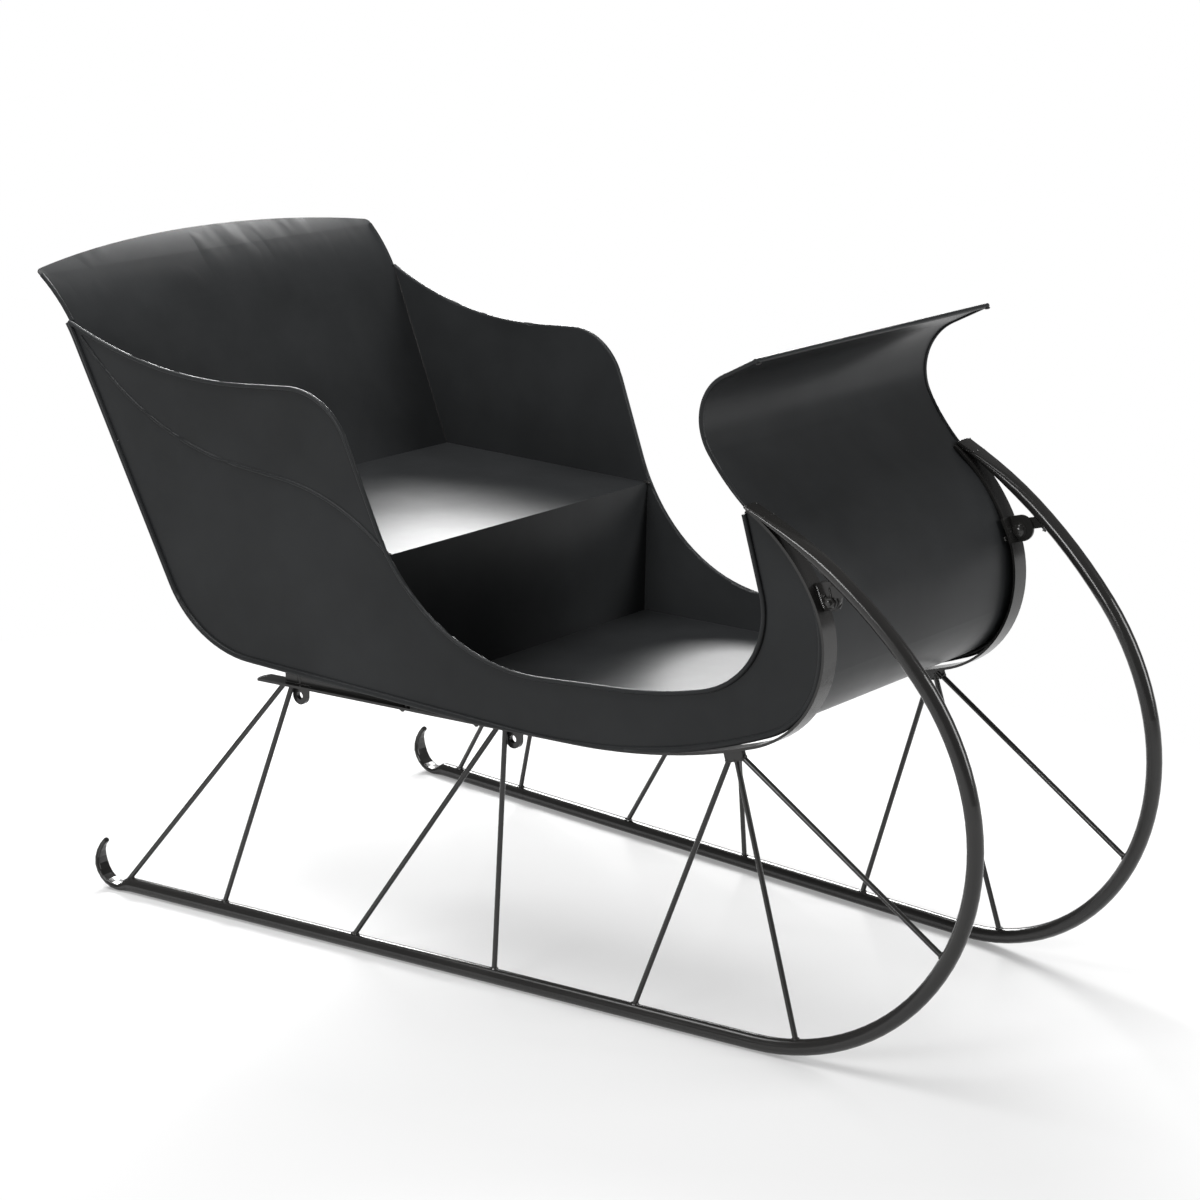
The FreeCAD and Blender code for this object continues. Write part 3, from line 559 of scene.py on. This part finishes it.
def add_bracket_parts(material):
    build = Build()
    bracket_beads(build)
    bracket_bolts(build)
    bracket_drops(build)
    build.piece("bracket_parts", material, "gear_paint", sharp=40.0)


# Rails, left-hand side

EYE_LUGS = ((-0.268, 0.25225), (0.056, 0.226))      # x and y of each lug's middle
EYE_LUG_HALF = 0.0105
EYE_LUG_FACE = 0.0032
EYE_BEAD_LOW = 0.0006
EYE_BEAD_R = 0.0014

RAIL_NUTS_X = (-0.110, 0.0005)
RAIL_NUT_IN = 0.0127                                # from the body's side to the nut's middle
RAIL_NUT = ((0.0052, 0.0), (0.0052, 0.0034), (0.0045, 0.0041))
RAIL_STUD = ((0.0024, 0.0), (0.0024, 0.0058), (0.0018, 0.0064))
RAIL_STUD_SIDES = 14

# Packing strip between rail and belly: its faces are given at the rear lug
STRIP_X = (-0.2900, -0.2885, -0.2600, -0.2300, -0.2000, -0.1700, -0.1400, -0.1075)
STRIP_AT_X = -0.268
STRIP_IN_Y = 0.2492
STRIP_OUT_Y = 0.2552
STRIP_BEAD_Y = 0.2557
STRIP_BEAD_X = (-0.289, -0.25)
STRIP_BEAD_UP = 0.0034                              # above the rail's underside
STRIP_BEAD_R = 0.0014
BELLY_Z = 0.3391
BELLY_FALL = 0.0594
STRIP_NOSE = 0.0012                                 # how much lower the strip's rear end is

RUNNER_END_Z = 0.6320                               # the weld is on what is above this
RUNNER_DROPS_Z = 0.6240
RUNNER_DROPS = 12
RUNNER_BEAD_R = 0.0023
RUNNER_BEAD_IN = 0.0015                             # from the end's rearmost point
RUNNER_BEAD_LOW = 0.0022                            # from its highest


def lug_beads(build):
    """Beads on both faces of each eye lug, under the rail."""
    z = RAIL_LOW_Z - EYE_BEAD_LOW
    for x, y in EYE_LUGS:
        for out in (-EYE_LUG_FACE, EYE_LUG_FACE):
            ends = [Vector((x - EYE_LUG_HALF, y + out, z)), Vector((x + EYE_LUG_HALF, y + out, z))]
            for path in both_sides(ends):
                build.weld(path, EYE_BEAD_R, seed=len(build.verts) * 0.17)


def rail_nuts(build):
    down = Vector((0.0, 0.0, -1.0))
    for x in RAIL_NUTS_X:
        for side in SIDES:
            under = Vector((x, (side_y(x, RAIL_LOW_Z) - RAIL_NUT_IN) * side, RAIL_LOW_Z))
            build.lathe(under, down, RAIL_NUT, HEX, 0.2)
            build.lathe(under, down, RAIL_STUD, RAIL_STUD_SIDES)


def packing_strips(build):
    """Thin strip between rail and belly on each side, which follows the belly's fall and the taper."""
    low = RAIL_LOW_Z + RAIL_T
    for side in SIDES:
        rings = []
        for x in STRIP_X:
            ahead = x - STRIP_AT_X
            nose = STRIP_NOSE if x == STRIP_X[0] else 0.0
            high = BELLY_Z - BELLY_FALL * ahead - nose
            y0 = (STRIP_IN_Y - BODY_TAPER * ahead) * side
            y1 = (STRIP_OUT_Y - BODY_TAPER * ahead) * side
            rings.append([Vector((x, y0, low)), Vector((x, y1, low)),
                          Vector((x, y1, high)), Vector((x, y0, high))])
        build.rings(rings)
        z = RAIL_LOW_Z + STRIP_BEAD_UP
        bead = [Vector((x, (STRIP_BEAD_Y - BODY_TAPER * (x - STRIP_AT_X)) * side, z)) for x in STRIP_BEAD_X]
        build.weld(bead, STRIP_BEAD_R, seed=side)


def runner_ends(build):
    """Bead across each runner's flat top end, with spatter on the metal round it."""
    for name in ("left", "right"):
        skin = [v.co for v in NODES["runner_" + name].data.vertices]
        end = [v for v in skin if v.z > RUNNER_END_Z]
        ys = [v.y for v in end]
        x = min(v.x for v in end) + RUNNER_BEAD_IN
        z = max(v.z for v in end) - RUNNER_BEAD_LOW
        path = [Vector((x, min(ys) + (max(ys) - min(ys)) * t, z)) for t in (0.04, 0.35, 0.65, 0.96)]
        build.weld(path, RUNNER_BEAD_R, seed=len(build.verts) * 0.11)
        near = [v for v in skin if v.z > RUNNER_DROPS_Z]
        for i in range(RUNNER_DROPS):
            radius = 0.0006 + 0.0005 * abs(math.sin(3.7 * i))
            build.drop(near[(37 * i) % len(near)].copy(), radius, 2.3 * i)


def add_rail_parts(material):
    build = Build()
    lug_beads(build)
    rail_nuts(build)
    packing_strips(build)
    runner_ends(build)
    build.piece("rail_parts", material, "gear_paint", sharp=40.0)


# Studio

FLOOR_HALF = 40.0
FLOOR_SHADE = (0.34, 0.62)              # to light that bounces, and to what sees the floor
FLOOR_LIFT = 0.22
WHITE_GLOW = (0.24, 1.0)                # of the plain white further out, in the same order
SHADOW_STRETCH = (1.0, 1.5, 1.0)
SHADOW_REACH = (0.95, 1.7)              # where the lit floor starts to fade, and where it ends

WORLD_STRENGTH = 0.18

# Name, place, aim, size and watts
LAMPS = (
    ("back_box", (-2.0, 2.15, 2.10), (0.0, 0.0, 0.45), (1.8, 1.0), 170.0),
    ("top_box", (-0.7, -0.6, 2.9), (-0.2, 0.0, 0.3), (2.8, 1.2), 66.0),
    ("front_box", (3.2, 1.2, 1.8), (0.2, 0.0, 0.4), (1.2, 2.0), 64.0),
    ("near_box", (0.0, -3.2, 1.40), (0.1, 0.0, 0.45), (1.1, 0.7), 36.0),
)


def floor_white():
    """White that keeps the sleigh's shadow and goes over to plain white further out."""
    n = Nodes("floor_white")
    place = n.add("ShaderNodeTexCoord").outputs["Object"]
    far = n.add("ShaderNodeVectorMath", operation="LENGTH")
    n.link(n.stretch(place, SHADOW_STRETCH), far.inputs[0])
    away = n.spread(far.outputs["Value"], *SHADOW_REACH)
    path = n.add("ShaderNodeLightPath")
    seen = n.math("MAXIMUM", path.outputs["Is Camera Ray"],
                  n.math("MAXIMUM", path.outputs["Is Glossy Ray"], path.outputs["Is Transmission Ray"]))
    skin = n.add("ShaderNodeBsdfDiffuse")
    n.link(n.spread(seen, 0.0, 1.0, *FLOOR_SHADE), skin.inputs["Color"])
    lift = n.add("ShaderNodeEmission")
    n.link(n.math("MULTIPLY", seen, FLOOR_LIFT), lift.inputs["Strength"])
    near = n.add("ShaderNodeAddShader")
    n.link(skin.outputs[0], near.inputs[0])
    n.link(lift.outputs[0], near.inputs[1])
    white = n.add("ShaderNodeEmission")
    n.link(n.spread(seen, 0.0, 1.0, *WHITE_GLOW), white.inputs["Strength"])
    both = n.add("ShaderNodeMixShader")
    n.link(away, both.inputs[0])
    n.link(near.outputs[0], both.inputs[1])
    n.link(white.outputs[0], both.inputs[2])
    n.link(both.outputs[0], n.out.inputs["Surface"])
    return n.mat


def add_floor():
    s = FLOOR_HALF
    mesh = bpy.data.meshes.new("floor")
    mesh.from_pydata([(-s, -s, 0), (s, -s, 0), (s, s, 0), (-s, s, 0)], [], [(0, 1, 2, 3)])
    mesh.materials.append(floor_white())
    floor = bpy.data.objects.new("floor", mesh)
    bpy.context.scene.collection.objects.link(floor)


def add_world():
    world = bpy.data.worlds.new("studio")
    bpy.context.scene.world = world
    world.use_nodes = True
    back = world.node_tree.nodes["Background"]
    back.inputs["Color"].default_value = (1.0, 1.0, 1.0, 1.0)
    back.inputs["Strength"].default_value = WORLD_STRENGTH


def add_lamps():
    for name, place, aim, size, watts in LAMPS:
        data = bpy.data.lights.new(name, "AREA")
        data.shape = "RECTANGLE"
        data.size, data.size_y = size
        data.energy = watts
        lamp = bpy.data.objects.new(name, data)
        lamp.location = place
        lamp.rotation_euler = (Vector(aim) - Vector(place)).to_track_quat("-Z", "Y").to_euler()
        bpy.context.scene.collection.objects.link(lamp)


def write_size():
    def plain(box):
        return [[round(float(v), 5) for v in corner] for corner in box]


bpy.context.scene.view_settings.view_transform = "Standard"
add_camera()
body_paint = paint("body_paint", BODY_COLOR, rough=0.34, grain=420.0, dents=0.05)
lip_paint = paint("lip_paint", BODY_COLOR, rough=0.44, grain=420.0, dents=0.05, ior=1.16, creases=0.17)
gear_paint = paint("gear_paint", GEAR_COLOR, rough=0.20, grain=520.0, ior=1.50)
weld_paint = paint("weld_paint", WELD_COLOR, rough=0.20, grain=700.0, ior=1.50)
dress_nodes(body_paint, gear_paint, lip_paint)
add_brace_welds(weld_paint)
add_seam_welds(weld_paint)
add_bracket_parts(weld_paint)
add_rail_parts(weld_paint)
add_floor()
add_world()
add_lamps()
write_size()
